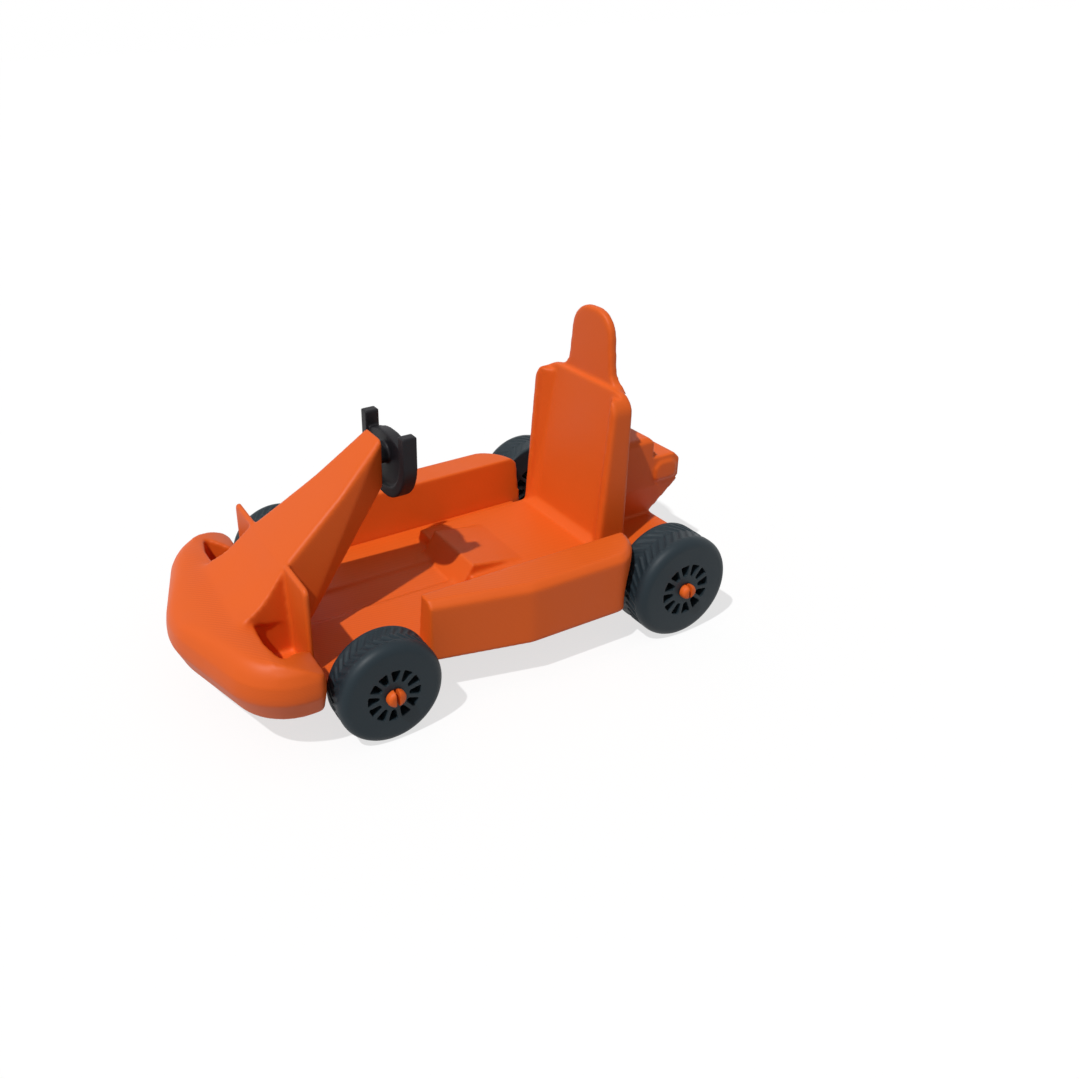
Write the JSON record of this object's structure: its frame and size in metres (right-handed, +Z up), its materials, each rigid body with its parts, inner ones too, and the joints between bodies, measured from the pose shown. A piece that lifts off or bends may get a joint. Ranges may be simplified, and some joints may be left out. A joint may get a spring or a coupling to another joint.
{
  "type": "toy racing kart",
  "caption": "Printed plastic toy racing kart: open tray hull with bumper nose and side pods, tall seat, rear engine, steering yoke on a slanted fairing and slotted wheels on snap pins.",
  "frame": {"origin": "on the floor, below the middle of the kart's outer box", "axes": "+Z up, the nose points to -Y, the driver's left is +X"},
  "size_m": [0.095, 0.1698, 0.0922],
  "materials": {
    "body_plastic": "orange printed plastic with fine layer lines",
    "wheel_plastic": "dark slate grey printed plastic",
    "yoke_plastic": "black printed plastic"
  },
  "bodies": {
    "hull": {"floor_tray": "body_plastic", "nose_bumper": "body_plastic", "steering_fairing": "body_plastic", "fin_left": "body_plastic", "fin_right": "body_plastic", "side_pod_left": "body_plastic", "side_pod_right": "body_plastic", "seat_pan": "body_plastic", "seat_back": "body_plastic", "headrest": "body_plastic", "rear_deck": "body_plastic", "engine_block": "body_plastic", "cylinder_head": "body_plastic", "engine_cover": "body_plastic", "axle_pin_front_left": "body_plastic", "axle_pin_front_right": "body_plastic", "axle_pin_rear_left": "body_plastic", "axle_pin_rear_right": "body_plastic"},
    "steering_yoke": {"steering_yoke": "yoke_plastic"},
    "wheel_front_left": {"wheel_front_left": "wheel_plastic"},
    "wheel_front_right": {"wheel_front_right": "wheel_plastic"},
    "wheel_rear_left": {"wheel_rear_left": "wheel_plastic"},
    "wheel_rear_right": {"wheel_rear_right": "wheel_plastic"}
  },
  "joints": [
    {"name": "wheel_front_left_spin", "type": "hinge", "parent": "hull", "child": "wheel_front_left", "pos_m": [0.0401, -0.03755, 0.015], "axis": [1, 0, 0], "continuous": true},
    {"name": "wheel_front_right_spin", "type": "hinge", "parent": "hull", "child": "wheel_front_right", "pos_m": [-0.0401, -0.03755, 0.015], "axis": [1, 0, 0], "continuous": true},
    {"name": "wheel_rear_left_spin", "type": "hinge", "parent": "hull", "child": "wheel_rear_left", "pos_m": [0.03875, 0.05885, 0.0161], "axis": [1, 0, 0], "continuous": true},
    {"name": "wheel_rear_right_spin", "type": "hinge", "parent": "hull", "child": "wheel_rear_right", "pos_m": [-0.03875, 0.05885, 0.0161], "axis": [1, 0, 0], "continuous": true},
    {"name": "yoke_turn", "type": "hinge", "parent": "hull", "child": "steering_yoke", "pos_m": [0, -0.0147, 0.0614], "axis": [0, 1, 0], "range_deg": [-90, 90]}
  ]
}
